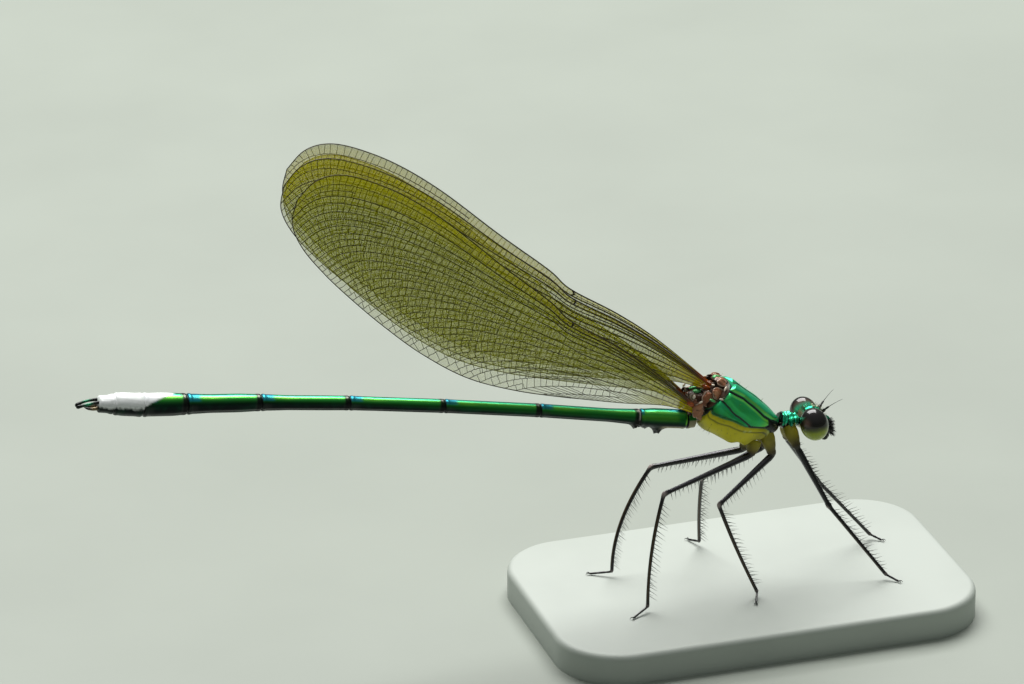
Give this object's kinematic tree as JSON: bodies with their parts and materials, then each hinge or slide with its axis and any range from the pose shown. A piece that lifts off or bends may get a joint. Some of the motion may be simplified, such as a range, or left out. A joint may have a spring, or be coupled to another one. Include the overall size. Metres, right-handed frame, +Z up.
{
  "type": "damselfly",
  "caption": "Life-size still model of a metallic green damselfly at rest, wings closed over its back, white-tipped abdomen, long bristly legs, on a small flat plate.",
  "frame": {"origin": "middle of the base plate's underside, on the level that the part rests on", "axes": "+X towards the head, +Y to the insect's left, +Z up"},
  "size_m": [0.0694, 0.021, 0.0423],
  "materials": {
    "metallic_green": "metallic green cuticle, glossy",
    "pale_bloom": "matt white bloom",
    "black_gloss": "glossy black cuticle",
    "olive_yellow": "yellow and olive cuticle, satin",
    "eye_dark": "dark compound eye, glossy",
    "wing_amber": "amber membrane, glossy",
    "wing_vein": "dark brown vein, satin",
    "root_brown": "rust brown wing roots, satin",
    "base_satin": "pale satin plate"
  },
  "bodies": {
    "root": {"antenna_left": "black_gloss", "antenna_right": "black_gloss", "cercus_left": "black_gloss", "cercus_right": "black_gloss", "coxa_front_left": "olive_yellow", "coxa_front_right": "olive_yellow", "coxa_hind_left": "olive_yellow", "coxa_hind_right": "olive_yellow", "coxa_middle_left": "olive_yellow", "coxa_middle_right": "olive_yellow", "eye_left": "eye_dark", "eye_right": "eye_dark", "femur_front_left": "black_gloss", "femur_front_right": "black_gloss", "femur_hind_left": "black_gloss", "femur_hind_right": "black_gloss", "femur_middle_left": "black_gloss", "femur_middle_right": "black_gloss", "forewing_left": "wing_amber", "forewing_right": "wing_amber", "head": "metallic_green", "hindwing_left": "wing_amber", "hindwing_right": "wing_amber", "mouthparts": "black_gloss", "paraproct": "black_gloss", "prothorax": "metallic_green", "segment_01": "metallic_green", "segment_02": "metallic_green", "segment_03": "metallic_green", "segment_04": "metallic_green", "segment_05": "metallic_green", "segment_06": "metallic_green", "segment_07": "metallic_green", "segment_08": "pale_bloom", "segment_09": "pale_bloom", "segment_10": "pale_bloom", "stand_base": "base_satin", "tarsus_front_left": "black_gloss", "tarsus_front_right": "black_gloss", "tarsus_hind_left": "black_gloss", "tarsus_hind_right": "black_gloss", "tarsus_middle_left": "black_gloss", "tarsus_middle_right": "black_gloss", "thorax": "metallic_green", "tibia_front_left": "black_gloss", "tibia_front_right": "black_gloss", "tibia_hind_left": "black_gloss", "tibia_hind_right": "black_gloss", "tibia_middle_left": "black_gloss", "tibia_middle_right": "black_gloss"}
  },
  "joints": []
}
